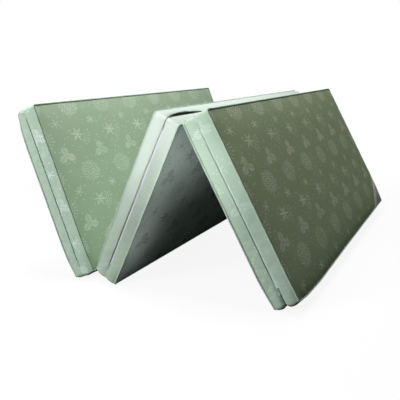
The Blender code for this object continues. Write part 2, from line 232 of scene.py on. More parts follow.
def write_values(item, name, values):
    """Keeps one number or one place for each point, which follows it through the later steps."""
    values = np.asarray(values, np.float32)
    kind, field = ("FLOAT", "value") if values.ndim == 1 else ("FLOAT_VECTOR", "vector")
    layer = item.data.attributes.new(name, kind, "POINT")
    layer.data.foreach_set(field, values.ravel())


def places_of(item):
    places = np.empty(len(item.data.vertices) * 3, np.float32)
    item.data.attributes["place"].data.foreach_get("vector", places)
    return places.reshape(-1, 3)


def apply_modifier(item, kind, **settings):
    """Adds one modifier, sets it and applies it."""
    only(item)
    change = item.modifiers.new(kind.lower(), kind)
    for name, value in settings.items():
        setattr(change, name, value)
    bpy.ops.object.modifier_apply(modifier=change.name)


def subdivide(item, levels=1):
    apply_modifier(item, "SUBSURF", levels=levels, render_levels=levels, boundary_smooth="PRESERVE_CORNERS")


def smooth(item, degrees=50):
    only(item)
    bpy.ops.object.shade_smooth_by_angle(angle=math.radians(degrees))


def to_world(item, panel):
    """Puts a mesh made in a panel's own frame where the panel stands, and never below the floor."""
    item.data.transform(panel["place"])
    points = points_of(item)
    points[:, 2] = np.maximum(points[:, 2], 0.0)
    place_points(item, points)


def finish_piece(item, material):
    item.data.materials.clear()
    item.data.materials.append(material)


def fit_to_panel(item, panel, material, degrees=50):
    """Places, smooths and finishes a piece that rides on its panel."""
    to_world(item, panel)
    smooth(item, degrees)
    finish_piece(item, material)
    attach(item, f"{panel['name']}_panel")


# Panel frames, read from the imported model

def read_panel(name):
    """Size and place of a panel: its zip runs along it, and its foam core gives its size."""
    run = next(joint for joint in frame["joints"] if joint["name"] == f"{name}_zip_run")
    along = Vector(run["axis"]).normalized()
    across = Vector((0, -FRONTS[name], 0))
    normal = along.cross(across)
    turn = Matrix((along, across, normal))
    core = np.array([turn @ vertex.co for vertex in frame["nodes"][f"{name}_foam_core"].data.vertices])
    low = core.min(0) - BACKING
    high = core.max(0) + BACKING
    corner = turn.transposed() @ Vector((low[0], (low[1] + high[1]) / 2, (low[2] + high[2]) / 2))
    return {
        "name": name,
        "front": FRONTS[name],
        "place": Matrix.Translation(corner) @ turn.transposed().to_4x4(),
        "length": high[0] - low[0],
        "width": high[1] - low[1],
        "half": (high[2] - low[2]) / 2 - FACE_CROWN,
        **COVERS[name],
    }


# Cover shape

def waves(position, lengths, seed):
    """A steady, irregular wave along an edge, from a few sines of unlike lengths, about -1 to 1."""
    draw = np.random.default_rng(seed)
    total = np.zeros_like(position)
    for length in lengths:
        total += np.sin(2 * math.pi * position / length + draw.uniform(0, 2 * math.pi))
    return total / len(lengths)


def spread(share):
    """Even shares moved towards both ends, where the cells are to be small."""
    return share - CELL_EASE * np.sin(2 * math.pi * share) / (2 * math.pi)


def grid_places(panel, places):
    """Places along and across the panel for shares of it, and how far inside its edges they lie."""
    x = spread(places[:, 0]) * panel["length"]
    y = (spread(places[:, 1]) - 0.5) * panel["width"]
    return x, y, np.minimum(np.minimum(x, panel["length"] - x), panel["width"] / 2 - np.abs(y))


def end_shares(panel, x):
    """How much a place belongs to the foot and to the top end, from 0 to 1."""
    foot = np.exp(-((x / END_REACH) ** 2))
    top = np.exp(-(((panel["length"] - x) / END_REACH) ** 2))
    return foot, top


def welt_draw(panel, x, side):
    """How far the piped edges are drawn in and down."""
    foot, top = end_shares(panel, x)
    drawn = (panel["foot_round"] * foot + np.where(side < 0, panel["top_low"], panel["top_round"]) * top) * MM
    return WELT_INSET + drawn, np.where(side < 0, 0.6, 0.3) * drawn


def outline_place(panel, x, y, inset):
    """Places and outward directions on the panel's plan for grid places, with rounded corners."""
    half_x = panel["length"] / 2
    half_y = panel["width"] / 2
    side_x = np.where(x < half_x, -1.0, 1.0)
    side_y = np.where(y < 0, -1.0, 1.0)
    deep_x = half_x - np.abs(x - half_x)
    deep_y = half_y - np.abs(y)
    radius = np.maximum(np.where(x < half_x, FOOT_CORNER, TOP_CORNER) - inset, LEAST_CORNER)
    on_end = deep_x <= deep_y
    beside = np.where(on_end, deep_y, deep_x) - inset
    in_corner = beside < radius
    bend = np.where(in_corner, (radius - beside) / radius, 0.0) * math.pi / 4
    angle = np.where(on_end, bend, math.pi / 2 - bend)
    out_x = np.cos(angle) * side_x
    out_y = np.sin(angle) * side_y
    arc_x = half_x + side_x * (half_x - inset - radius) + radius * out_x
    arc_y = side_y * (half_y - inset - radius) + radius * out_y
    return np.where(in_corner, arc_x, x), np.where(in_corner, arc_y, y), out_x, out_y


def shape_cover(panel, places, plain=False):
    """Cover points in the panel's frame for grid places: shares along and across, and the level."""
    x, y, inset = grid_places(panel, places)
    level = np.abs(places[:, 2])
    side = np.sign(places[:, 2])
    on_face = level > FACE_LEVEL
    inset = np.where(on_face, inset, 0.0)
    foot, top = end_shares(panel, x)
    drawn, lowered = welt_draw(panel, x, side)
    depth = np.full_like(x, SEAM_DEPTH)
    if not plain:
        top_seam = np.exp(-(((panel["length"] - x) / TOP_SEAM_REACH) ** 2))
        depth += (panel["foot_seam"] * MM - SEAM_DEPTH) * foot
        depth += (panel["top_seam"] * MM - SEAM_DEPTH) * top_seam
    px, py, out_x, out_y = outline_place(panel, x, y, inset)
    from_end = np.minimum(x - ZIP_START, panel["length"] - ZIP_TOP_MARGIN - x) + PULL_DIP_REACH
    dip = PULL_DIP * np.exp(-((from_end / PULL_DIP_REACH) ** 4)) * (panel["front"] * out_y > 0.9)
    depth = np.maximum(depth, dip)

    height = level ** BOXING_EASE * panel["half"]
    groove = depth * np.exp(-((height / GROOVE_WIDTH) ** 1.5))
    pull = np.where(on_face, drawn * np.clip(1 - inset / WELT_BLEND, 0, 1) ** 2, groove + drawn * level ** 5)
    crown = FACE_CROWN * (1 - np.clip(1 - inset / CROWN_REACH, 0, 1) ** 1.6)
    rise = panel["half"] + crown - lowered * np.clip(1 - inset / WELT_BLEND, 0, 1) ** 2
    z = side * np.where(on_face, rise, height - lowered * level ** 3)
    px = px - out_x * pull
    if not plain:
        high = np.clip(0.5 + z / (2 * panel["half"]), 0, 1)
        from_zip = 0.5 - panel["front"] * y / panel["width"]
        sag = panel["foot_high"] * high * np.interp(from_zip, SAG_PLACE_SHARES, SAG_SHARES)
        px = px - (sag + panel["foot_low"] * np.clip(1 - 2 * high, 0, 1) ** 2) * MM * foot
    return np.column_stack((px, py - out_y * pull, z))


def make_cover_grid(panel):
    """Two cloth grids, one over the other, with their edges bridged by the rows of the boxing."""
    grids = []
    for level in (1, -1):
        bpy.ops.mesh.primitive_grid_add(
            x_subdivisions=CELLS_ALONG, y_subdivisions=CELLS_ACROSS, size=1, location=(0.5, 0.5, level)
        )
        grids.append(newest(f"{panel['name']}_cover"))
        bpy.ops.object.transform_apply(location=True, rotation=True, scale=True)
    only(*grids)
    bpy.ops.object.join()
    bpy.ops.object.mode_set(mode="EDIT")
    bpy.ops.mesh.select_mode(type="EDGE")
    bpy.ops.mesh.select_all(action="DESELECT")
    bpy.ops.mesh.select_non_manifold(
        extend=False, use_wire=False, use_boundary=True, use_multi_face=False,
        use_non_contiguous=False, use_verts=False,
    )
    bpy.ops.mesh.bridge_edge_loops(type="SINGLE", number_cuts=BOXING_CUTS, interpolation="LINEAR")
    bpy.ops.mesh.select_all(action="SELECT")
    bpy.ops.mesh.normals_make_consistent(inside=False)
    object_mode()
    return grids[0]


def map_cloth(cover, panel, places):
    """Writes the cloth coordinates in metres, side by side for the faces and the four edges."""
    layer = cover.data.uv_layers.active or cover.data.uv_layers.new(name="cloth")
    layer.name = "cloth"
    x = spread(places[:, 0]) * panel["length"]
    y = spread(places[:, 1]) * panel["width"]
    if panel["front"] > 0:
        y = panel["width"] - y
    z = places[:, 2] * panel["half"] + panel["half"]
    loops = np.empty(len(cover.data.loops), int)
    cover.data.loops.foreach_get("vertex_index", loops)
    owner = np.empty(len(loops), int)
    centres = np.empty((len(cover.data.polygons), 3))
    for index, face in enumerate(cover.data.polygons):
        owner[face.loop_start:face.loop_start + face.loop_total] = index
        centres[index] = places[list(face.vertices)].mean(0)
    centre = centres[owner]
    on_face = np.abs(centre[:, 2]) > FACE_LEVEL
    on_end = np.minimum(centre[:, 0], 1 - centre[:, 0]) < np.minimum(centre[:, 1], 1 - centre[:, 1])
    weave = BOXING_WEAVE[panel["name"]]
    u = np.where(on_face | on_end, y[loops], z[loops] + weave["across"])
    v = np.where(on_face, x[loops], np.where(on_end, z[loops], x[loops] + weave["along"]))
    layer.data.foreach_set("uv", np.column_stack((u, v)).ravel())


def edge_shares(panel, part, places):
    """How close each point is to a sewn line, from 0 to 1: a face's edge, or a band's middle seam, where the
    cloth gets a painted shadow.
    """
    x, y, inset = grid_places(panel, places)
    if part.endswith("face"):
        return np.exp(-np.maximum(inset, 0) / (4.2 * MM))
    height = np.abs(places[:, 2]) ** BOXING_EASE * panel["half"]
    first = ZIP_START if panel["name"] == "right" else 0
    last = panel["length"] - (ZIP_TOP_MARGIN if panel["name"] == "middle" else 0)
    zipped = (x > first) & (x < last) & (panel["front"] * y > panel["width"] / 2 - 1 * MM)
    near = np.where(zipped, 1.0, 5 * height)
    if part == "lower_boxing" and panel["name"] != "middle":
        near = np.minimum(near, 3.2 * (panel["half"] - height))
    return np.exp(-np.maximum(near, 0) / (5 * MM))


def simulate_cloth(cover, panel, places):
    """Fills the sewn cover with pressure while its edges and seam are held, and gives the movement."""
    start = shape_cover(panel, places, plain=True)
    place_points(cover, start)
    level = np.abs(places[:, 2])
    inset = grid_places(panel, places)[2]
    held = cover.vertex_groups.new(name="sewn")
    sewn = (level < 0.001) | ((level > FACE_LEVEL) & (inset < 0.1 * MM))
    held.add([int(index) for index in np.flatnonzero(sewn)], 1.0, "REPLACE")
    foam = [int(index) for index in np.flatnonzero((level > FACE_LEVEL) & (inset > 70 * MM))]
    held.add(foam, 0.12, "REPLACE")
    only(cover)
    cloth = cover.modifiers.new("cloth", "CLOTH")
    settings = {
        "quality": 4, "mass": 0.25, "tension_stiffness": 12, "compression_stiffness": 12,
        "shear_stiffness": 4, "bending_stiffness": 0.15, "use_pressure": True,
        "uniform_pressure_force": PRESSURE, "vertex_group_mass": held.name, "shrink_min": -0.015,
    }
    for name, value in settings.items():
        setattr(cloth.settings, name, value)
    cloth.settings.effector_weights.gravity = 0
    cloth.collision_settings.use_collision = False
    for step in range(1, SIM_FRAMES + 1):
        bpy.context.scene.frame_set(step)
    bpy.ops.object.modifier_apply(modifier=cloth.name)
    bpy.context.scene.frame_set(1)
    moved = points_of(cover) - start
    cover.vertex_groups.clear()
    size = np.linalg.norm(moved, axis=1, keepdims=True)
    swell = moved * SWELL_CAP / (SWELL_CAP + size)
    return np.where(level[:, None] > FACE_LEVEL, FACE_SWELL, 1.0) * swell


def gather_front(panel, points):
    """Fine gathers in the boxing, across its length, strongest where the cloth is slack."""
    x = points[:, 0]
    y = points[:, 1]
    z = points[:, 2]
    half_y = panel["width"] / 2
    front = panel["front"] * y > half_y - EDGE_BAND
    back = panel["front"] * y < -half_y + EDGE_BAND
    across = np.clip(1 - np.abs(np.abs(z) / panel["half"] - 0.5) / 0.5, 0, 1)
    seed = {"left": 3, "middle": 5, "right": 8}[panel["name"]]
    lean = x + 0.35 * z
    fine = waves(lean, (13 * MM, 17 * MM, 29 * MM), seed)
    broad = waves(x + 0.2 * z, (71 * MM, 113 * MM, 190 * MM), seed + 1)
    slack = 0.28 + 0.3 * np.clip(waves(x, (160 * MM, 240 * MM), seed + 2), 0, 1)
    creases = waves(x - 0.3 * z, (15 * MM, 19 * MM, 27 * MM), seed + 4)
    pucker = 0.8 * MM * pucker_shares(panel, points) * (z < 0) * creases
    amount = (0.9 * MM * slack * fine + 1.1 * MM * broad) * across + pucker
    moved = points.copy()
    moved[:, 1] += panel["front"] * amount * front - panel["front"] * amount * back
    ends = np.minimum(x, panel["length"] - x) < EDGE_BAND
    end_side = np.where(x < panel["length"] / 2, -1, 1)
    long_wave = waves(y + 0.3 * z, (19 * MM, 27 * MM, 90 * MM, 210 * MM), seed + 3)
    moved[:, 0] += end_side * 0.9 * MM * long_wave * across * ends
    return moved


def pucker_shares(panel, points):
    """How puckered the lower band is at each point, from 0 to 1."""
    x, _, z = points.T
    near = np.exp(-(((x - panel["pucker_at"] * MM) / PUCKER_REACH) ** 4))
    return panel["pucker"] * near * np.clip(1 - (2 * np.abs(z) / panel["half"] - 1) ** 2, 0, 1) ** 0.3


def build_cover(panel, swell):
    """The whole cover in one mesh, swollen, with what its cloth and its rows need later."""
    cover = make_cover_grid(panel)
    places = points_of(cover)
    map_cloth(cover, panel, places)
    place_points(cover, shape_cover(panel, places) + swell)
    write_values(cover, "place", places)
    return cover


def split_cover(panel, cover):
    """Cuts the cover along its welts and its middle seam."""
    level = places_of(cover)[:, 2]
    wanted = {
        "upper_face": (FACE_LEVEL, 2), "lower_face": (-2, -FACE_LEVEL),
        "upper_boxing": (0, FACE_LEVEL), "lower_boxing": (-FACE_LEVEL, 0),
    }
    pieces = {}
    for part, (low, high) in wanted.items():
        piece = copy_of(cover, f"{panel['name']}_{part}")
        keep = []
        for face in piece.data.polygons:
            middle = sum(level[index] for index in face.vertices) / len(face.vertices)
            keep.append(low < middle < high)
        only(piece)
        bpy.ops.object.mode_set(mode="EDIT")
        bpy.ops.mesh.select_mode(type="FACE")
        bpy.ops.mesh.select_all(action="DESELECT")
        object_mode()
        piece.data.polygons.foreach_set("select", [not kept for kept in keep])
        bpy.ops.object.mode_set(mode="EDIT")
        bpy.ops.mesh.delete(type="FACE")
        object_mode()
        pieces[part] = piece
    return pieces


def open_zip(panel, piece, side):
    """Moves a band's seam edge off the zip's line, and lets it wander a little."""
    points = points_of(piece)
    x, y, z = points.T
    front = panel["front"] * y > panel["width"] / 2 - EDGE_BAND
    start = np.clip((x - ZIP_START + SLOT_REACH) / SLOT_END, 0, 1)
    stop = np.clip((panel["length"] - ZIP_TOP_MARGIN + SLOT_REACH - x) / SLOT_END, 0, 1)
    inside = np.minimum(start, stop) * front
    seed = {"left": 21, "middle": 23, "right": 25}[panel["name"]]
    wander = panel["wander"] * MM * waves(x, (95 * MM, 170 * MM, 330 * MM), seed)
    half = SLOT_HALF + (panel["slot_low"] * MM if side < 0 else 0)
    slot = half * inside + np.maximum(side * wander, 0) * inside
    near = np.exp(-np.abs(z) / (6 * MM))
    points[:, 2] += side * slot * near
    if side > 0:
        from_zip = panel["width"] / 2 - panel["front"] * y
        share = np.clip((from_zip - GAP_START) / (GAP_END - GAP_START), 0, 1)
        lens = panel["gap"] * MM * np.sin(math.pi * share ** 0.8) * (x > panel["length"] - 9 * MM)
        points[:, 2] += lens * np.exp(-np.abs(z) / (16 * MM))
        points[:, 0] += 0.25 * lens * np.exp(-np.abs(z) / (10 * MM))
        share = np.clip((x - panel["lip_from"] * MM) / ((panel["lip_to"] - panel["lip_from"]) * MM), 0, 1)
        proud = panel["lip"] * MM * np.sin(math.pi * share) ** 0.7
        points[:, 1] += panel["front"] * proud * front * np.exp(-np.abs(z) / (9 * MM))
    place_points(piece, points)


def make_panel_cover(panel, swell, finishes):
    """Four cloths, two pipings, the stitching and the foam block of one panel."""
    cover = build_cover(panel, swell)
    name = panel["name"]
    for part, piece in split_cover(panel, cover).items():
        word, kind = part.split("_")
        side = 1 if word == "upper" else -1
        if kind == "boxing":
            open_zip(panel, piece, side)
        write_values(piece, "sewn_edge", edge_shares(panel, part, places_of(piece)))
        subdivide(piece)
        if kind == "boxing":
            place_points(piece, gather_front(panel, points_of(piece)))
            make_piping(panel, word, side, row_round(piece, side), finishes)
            make_stitching(panel, word, side, piece, finishes)
        show = BOXING_WEAVE[name][word if kind == "boxing" else "face"]
        write_values(piece, "figure_show", np.full(len(piece.data.vertices), show))
        if part == "lower_boxing":
            write_values(piece, "pucker", pucker_shares(panel, points_of(piece)))
        if name == "right" and part == "upper_face":
            make_corner_patch(panel, piece, finishes)
        apply_modifier(piece, "SOLIDIFY", thickness=CLOTH, offset=-1)
        cloth = "face_cloth" if kind == "face" else "boxing_cloth"
        finish = "reverse_cloth" if part == "lower_face" else cloth
        if f"{name}_{finish}" in finishes:
            finish = f"{name}_{finish}"
        fit_to_panel(piece, panel, finishes[finish])
        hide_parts(f"{name}_{part}_cloth" if kind == "face" else f"{name}_{part}_band")
    make_foam(panel, finishes)
    bpy.data.objects.remove(cover)


def row_round(piece, level):
    """One row of a band's points, in order round the panel."""
    places = places_of(piece)
    row = np.flatnonzero(np.abs(places[:, 2] - level) < 0.002)
    x, y = places[row, 0], places[row, 1]
    low, high = 1e-4, 1 - 1e-4
    order = np.where(y < low, x, np.where(x > high, 1 + y, np.where(y > high, 3 - x, 4 - y)))
    return points_of(piece)[row[np.argsort(order)]]


def row_front(panel, piece, level):
    """One row of a band's points along the zip's side, from the foot to the top end."""
    places = places_of(piece)
    front = (1 + panel["front"]) / 2
    row = np.flatnonzero((np.abs(places[:, 2] - level) < 0.002) & (np.abs(places[:, 1] - front) < 1e-4))
    points = points_of(piece)[row[np.argsort(places[row, 0])]]
    x = points[:, 0]
    return points[(x > ZIP_START - 12 * MM) & (x < panel["length"] - ZIP_TOP_MARGIN + 12 * MM)]


def lay_stitches(name, route):
    """One sewn stitch, copied at an even pitch along a route."""
    bpy.ops.object.select_all(action="DESELECT")
    bpy.ops.mesh.primitive_uv_sphere_add(segments=5, ring_count=4, radius=1)
    row = newest(name)
    row.scale = (STITCH_RADIUS, STITCH_RADIUS, STITCH_LENGTH / 2)
    bpy.ops.object.transform_apply(location=True, rotation=True, scale=True)
    stitch = points_of(row)
    run = np.concatenate(([0], np.cumsum(np.linalg.norm(np.diff(route, axis=0), axis=1))))
    count = int(run[-1] / STITCH_PITCH)
    apply_modifier(row, "ARRAY", count=count, use_relative_offset=False)
    middles = (np.arange(count) + 0.5) * run[-1] / count
    centres = np.column_stack([np.interp(middles, run, route[:, axis]) for axis in range(3)])
    ahead = np.column_stack([np.interp(middles + 1 * MM, run, route[:, axis]) for axis in range(3)])
    behind = np.column_stack([np.interp(middles - 1 * MM, run, route[:, axis]) for axis in range(3)])
    along = ahead - behind
    along /= np.linalg.norm(along, axis=1, keepdims=True)
    side = np.cross(along, (0.3, 0.5, 0.8))
    side /= np.linalg.norm(side, axis=1, keepdims=True)
    turns = np.stack((side, np.cross(along, side), along), axis=1)
    place_points(row, (stitch @ turns + centres[:, None]).reshape(-1, 3))
    return row


def make_stitching(panel, word, side, band, finishes):
    """Lockstitch rows in the band, beside its piping and beside the zip."""
    outward = row_round(band, side * EDGE_STITCH_LEVEL)
    rows = {
        "edge": np.vstack((outward, outward[:1])),
        "zip": row_front(panel, band, side * ZIP_STITCH_LEVEL),
    }
    for where, route in rows.items():
        row = lay_stitches(f"{panel['name']}_{word}_{where}_stitches", route)
        fit_to_panel(row, panel, finishes["thread"], 80)


def add_tube(name, route, radius, closed, sides=3):
    """A round cord of cloth along a route, made as a curve and turned to a mesh."""
    curve = bpy.data.curves.new(name, "CURVE")
    curve.dimensions = "3D"
    curve.bevel_depth = radius
    curve.bevel_resolution = sides
    curve.use_fill_caps = not closed
    spline = curve.splines.new("POLY")
    spline.points.add(len(route) - 1)
    spline.points.foreach_set("co", np.column_stack((route, np.ones(len(route)))).ravel())
    spline.use_cyclic_u = closed
    item = bpy.data.objects.new(name, curve)
    bpy.context.scene.collection.objects.link(item)
    only(item)
    bpy.ops.object.convert(target="MESH")
    return newest(name)


def make_piping(panel, word, side, route, finishes):
    """Piping sewn into the edge: a round cord in bias cloth, a little uneven along its length."""
    name = f"{panel['name']}_{word}_piping"
    steps = np.linalg.norm(np.roll(route, -1, 0) - route, axis=1)
    run = np.concatenate(([0], np.cumsum(steps)[:-1]))
    seed = 40 + side + 3 * list(FRONTS).index(panel["name"])
    route[:, 2] += side * (0.35 * MM * waves(run, (60 * MM, 97 * MM, 41 * MM), seed) - 0.2 * MM)
    piping = add_tube(name, route, PIPING_RADIUS, closed=True)
    fit_to_panel(piping, panel, finishes["welt_cloth"])
    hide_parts(f"{panel['name']}_{word}_welt")


def make_foam(panel, finishes):
    """Foam block inside the cover: cut edges rounded, top and bottom faces flat."""
    name = panel["name"]
    deep = 14 * MM + panel["top_seam"] * MM
    deeper = 2.5 * panel["gap"] * MM
    bpy.ops.object.select_all(action="DESELECT")
    bpy.ops.mesh.primitive_cube_add(size=1, location=((panel["length"] - deeper) / 2, 0, 0))
    foam = newest(f"{name}_foam")
    foam.scale = (panel["length"] - deeper - 2 * deep, panel["width"] - 2 * deep, 2 * (panel["half"] - CLOTH))
    bpy.ops.object.transform_apply(location=True, rotation=True, scale=True)
    bpy.ops.object.mode_set(mode="EDIT")
    bpy.ops.mesh.select_all(action="SELECT")
    bpy.ops.mesh.bevel(offset=9 * MM, segments=4, affect="EDGES")
    bpy.ops.mesh.select_all(action="SELECT")
    bpy.ops.mesh.subdivide(number_cuts=3)
    object_mode()
    points = points_of(foam)
    sag = 1.2 * MM * waves(points[:, 0] + 0.6 * points[:, 1], (140 * MM, 233 * MM), 77)
    points[:, 2] -= np.sign(points[:, 2]) * np.abs(sag)
    place_points(foam, points)
    fit_to_panel(foam, panel, finishes["foam"], 60)
    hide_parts(f"{name}_foam_core")


# Cloth hinges

def make_hinge(side, joint_name, panels, finishes):
    """A cloth strip sewn in beside both pipings, slack over the fold line."""
    joint = next(joint for joint in frame["joints"] if joint["name"] == joint_name)
    fold = Vector((joint["pos_m"][0], 0, joint["pos_m"][2]))
    ends = []
    for panel in panels:
        node = frame["nodes"][f"{side}_hinge_{panel}_leaf"]
        half_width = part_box(node.name)[1].y
        flat = [Vector((vertex.co.x, 0, vertex.co.z)) for vertex in node.data.vertices]
        ends.append(max(flat, key=lambda point: (point - fold).length))
    middle_end, other_end = ends
    lean = (middle_end + other_end) / 2 - fold
    sag = fold - lean.normalized() * 1.5 * MM
    section = [middle_end, middle_end.lerp(sag, 0.45), middle_end.lerp(sag, 0.85), sag,
               other_end.lerp(sag, 0.85), other_end.lerp(sag, 0.45), other_end]
    bpy.ops.object.select_all(action="DESELECT")
    bpy.ops.mesh.primitive_grid_add(x_subdivisions=len(section) - 1, y_subdivisions=HINGE_CELLS, size=1)
    strip = newest(f"{side}_hinge_strip")
    points = points_of(strip)
    row = np.rint((points[:, 0] + 0.5) * (len(section) - 1)).astype(int)
    y = 2 * points[:, 1] * half_width
    base = np.array([section[index] for index in row])
    slack = np.sin(math.pi * row / (len(section) - 1))
    ripple = 0.5 * MM * waves(y, (23 * MM, 37 * MM, 88 * MM), 61 + len(side)) * slack
    base += np.outer(ripple, lean.normalized())
    base[:, 1] = y
    place_points(strip, base)
    layer = strip.data.uv_layers.active
    layer.name = "cloth"
    for loop in strip.data.loops:
        index = loop.vertex_index
        layer.data[loop.index].uv = (y[index] + half_width, row[index] * 5 * MM)
    subdivide(strip)
    apply_modifier(strip, "SOLIDIFY", thickness=HINGE_CLOTH, offset=0)
    smooth(strip)
    finish_piece(strip, finishes["hinge_cloth"])
    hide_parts(*(f"{side}_hinge_{panel}_leaf" for panel in panels))
    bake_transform(strip)


# Materials

def linear(code):
    """sRGB hex to linear colour."""
    colour = []
    for start in (1, 3, 5):
        value = int(code[start:start + 2], 16) / 255
        colour.append(value / 12.92 if value <= 0.04045 else ((value + 0.055) / 1.055) ** 2.4)
    return (*colour, 1)


def new_material(name):
    material = bpy.data.materials.new(name)
    material.use_nodes = True
    material.node_tree.nodes.clear()
    return material, material.node_tree


def add(tree, kind, inputs=(), out=0, **settings):
    """Adds one node: its settings, then its inputs by order or by name, and gives one output."""
    node = tree.nodes.new("ShaderNode" + kind)
    for name, value in settings.items():
        setattr(node, name, value)
    named = inputs.items() if isinstance(inputs, dict) else enumerate(inputs)
    for name, value in named:
        if isinstance(value, bpy.types.NodeSocket):
            tree.links.new(value, node.inputs[name])
        elif value is not None:
            node.inputs[name].default_value = value
    return node.outputs[out]


def show(tree, shader, kind="Material"):
    output = tree.nodes.new("ShaderNodeOutput" + kind)
    tree.links.new(shader, output.inputs["Surface"])


def around_figure(tree, cloth, at):
    """Distance and angle about the nearest repeat of a figure, with the weave's stretch taken out."""
    size = (REPEAT_ACROSS / WEAVE_STRETCH, REPEAT_ALONG, 0)
    start = (0.5 - at[0] / REPEAT_ACROSS, 0.5 - at[1] / REPEAT_ALONG, 0)
    count = (1 / REPEAT_ACROSS, 1 / REPEAT_ALONG, 0)
    share = add(tree, "VectorMath", (cloth, count, start), operation="MULTIPLY_ADD")
    part = add(tree, "VectorMath", (share,), operation="FRACTION")
    centre = tuple(-side / 2 for side in size)
    local = add(tree, "VectorMath", (part, size, centre), operation="MULTIPLY_ADD")
    distance = add(tree, "VectorMath", (local,), out="Value", operation="LENGTH")
    sides = [add(tree, "SeparateXYZ", (local,), out=axis) for axis in "YX"]
    angle = add(tree, "Math", sides, operation="ARCTAN2")
    return distance, angle


def along_arm(tree, distance, angle, arms, start):
    """Coordinates along and beside the nearest of a figure's arms."""
    turned = add(tree, "Math", (angle, start), operation="ADD")
    fold = add(tree, "Math", (turned, math.pi / arms), operation="PINGPONG")
    cosine = add(tree, "Math", (fold,), operation="COSINE")
    sine = add(tree, "Math", (fold,), operation="SINE")
    forward = add(tree, "Math", (distance, cosine), operation="MULTIPLY")
    beside = add(tree, "Math", (distance, sine), operation="MULTIPLY")
    return forward, beside


def twigs(tree, forward, beside, spacing, width):
    """Side twigs that leave an arm at 60 degrees."""
    root = add(tree, "Math", (beside, -0.577, forward), operation="MULTIPLY_ADD")
    across = add(tree, "Math", (root, spacing / 2), operation="PINGPONG")
    return add(tree, "Math", (across, width), operation="LESS_THAN")


def snow_star(tree, cloth, at, radius, line, twig_spacing, start=0.0):
    """A six-armed snow crystal with short twigs."""
    distance, angle = around_figure(tree, cloth, at)
    forward, beside = along_arm(tree, distance, angle, 6, start)
    spine = add(tree, "Math", (beside, line), operation="LESS_THAN")
    twig = twigs(tree, forward, beside, twig_spacing, line)
    reach = add(tree, "Math", (forward, -0.42, 0.42 * radius), operation="MULTIPLY_ADD")
    short = add(tree, "Math", (beside, reach), operation="LESS_THAN")
    twig = add(tree, "Math", (twig, short), operation="MULTIPLY")
    both = add(tree, "Math", (spine, twig), operation="MAXIMUM")
    within = add(tree, "Math", (forward, radius), operation="LESS_THAN")
    return add(tree, "Math", (both, within), operation="MULTIPLY"), distance, angle


def lace_star(tree, cloth, at, radius):
    """A large round snow crystal drawn in dots."""
    distance, angle = around_figure(tree, cloth, at)
    forward, beside = along_arm(tree, distance, angle, 6, 0.26)
    twig = twigs(tree, forward, beside, 9.5 * MM, 2.4 * MM)
    dots = add(tree, "Math", (beside, 3 * MM), operation="PINGPONG")
    dots = add(tree, "Math", (dots, 1.9 * MM), operation="LESS_THAN")
    lace = add(tree, "Math", (twig, dots), operation="MULTIPLY")
    ring = add(tree, "Math", (forward, 5 * MM), operation="PINGPONG")
    ring = add(tree, "Math", (ring, 2.6 * MM), operation="LESS_THAN")
    spine = add(tree, "Math", (beside, 1.9 * MM), operation="LESS_THAN")
    spine = add(tree, "Math", (spine, ring), operation="MULTIPLY")
    both = add(tree, "Math", (lace, spine), operation="MAXIMUM")
    within = add(tree, "Math", (distance, radius), operation="LESS_THAN")
    return add(tree, "Math", (both, within), operation="MULTIPLY")


def leaf_sprig(tree, cloth, at, radius):
    """A sprig of three veined leaves."""
    distance, angle = around_figure(tree, cloth, at)
    forward, beside = along_arm(tree, distance, angle, 3, 0.45)
    taper = add(tree, "Math", (forward, -1.5 / radius, 1.5), operation="MULTIPLY_ADD")
    outline = add(tree, "Math", (forward, taper), operation="MULTIPLY")
    blade = add(tree, "Math", (beside, outline), operation="LESS_THAN")
    vein = twigs(tree, forward, beside, 7 * MM, 1.3 * MM)
    plain = add(tree, "Math", (1.0, vein), operation="SUBTRACT")
    leaf = add(tree, "Math", (blade, plain), operation="MULTIPLY")
    rib = add(tree, "Math", (beside, 1.1 * MM), operation="GREATER_THAN")
    leaf = add(tree, "Math", (leaf, rib), operation="MULTIPLY")
    within = add(tree, "Math", (forward, radius), operation="LESS_THAN")
    return add(tree, "Math", (leaf, within), operation="MULTIPLY")


def dot_trail(tree, distance, angle, radius, middle, half_turn):
    """A short curved trail of dots beside a star: two arcs of beads, one outside the other."""
    off = add(tree, "Math", (distance, radius), operation="SUBTRACT")
    off = add(tree, "Math", (off,), operation="ABSOLUTE")
    wide = add(tree, "Math", (off, 12 * MM), operation="LESS_THAN")
    row = add(tree, "Math", (off, 4.6 * MM), operation="PINGPONG")
    row = add(tree, "Math", (row, 1.9 * MM), operation="LESS_THAN")
    bead = add(tree, "Math", (angle, 0.13), operation="PINGPONG")
    bead = add(tree, "Math", (bead, 0.055), operation="LESS_THAN")
    part = add(tree, "Math", (angle, middle), operation="SUBTRACT")
    part = add(tree, "Math", (part,), operation="ABSOLUTE")
    part = add(tree, "Math", (part, half_turn), operation="LESS_THAN")
    for share in (bead, wide, part):
        row = add(tree, "Math", (row, share), operation="MULTIPLY")
    return row


def woven_figures(tree, cloth):
    """All the woven figures of the cover cloth, as one mask."""
    star, distance, angle = snow_star(tree, cloth, STAR_AT, 27 * MM, 1.7 * MM, 11 * MM, 0.2)
    spark, _, _ = snow_star(tree, cloth, SPARK_AT, 17 * MM, 1.4 * MM, 40 * MM, 0.45)
    lace = lace_star(tree, cloth, LACE_AT, 39 * MM)
    sprig = leaf_sprig(tree, cloth, SPRIG_AT, 36 * MM)
    trail = dot_trail(tree, distance, angle, 40 * MM, -0.35, 0.75)
    mask = star
    for figure in (spark, lace, sprig, trail):
        mask = add(tree, "Math", (mask, figure), operation="MAXIMUM")
    spots = add(
        tree, "TexVoronoi", {"Vector": cloth, "Scale": 1 / (34 * MM)}, out="Distance",
        voronoi_dimensions="2D", feature="F1",
    )
    spots = add(tree, "Math", (spots, 0.075), operation="LESS_THAN")
    return add(tree, "Math", (mask, spots), operation="MAXIMUM")


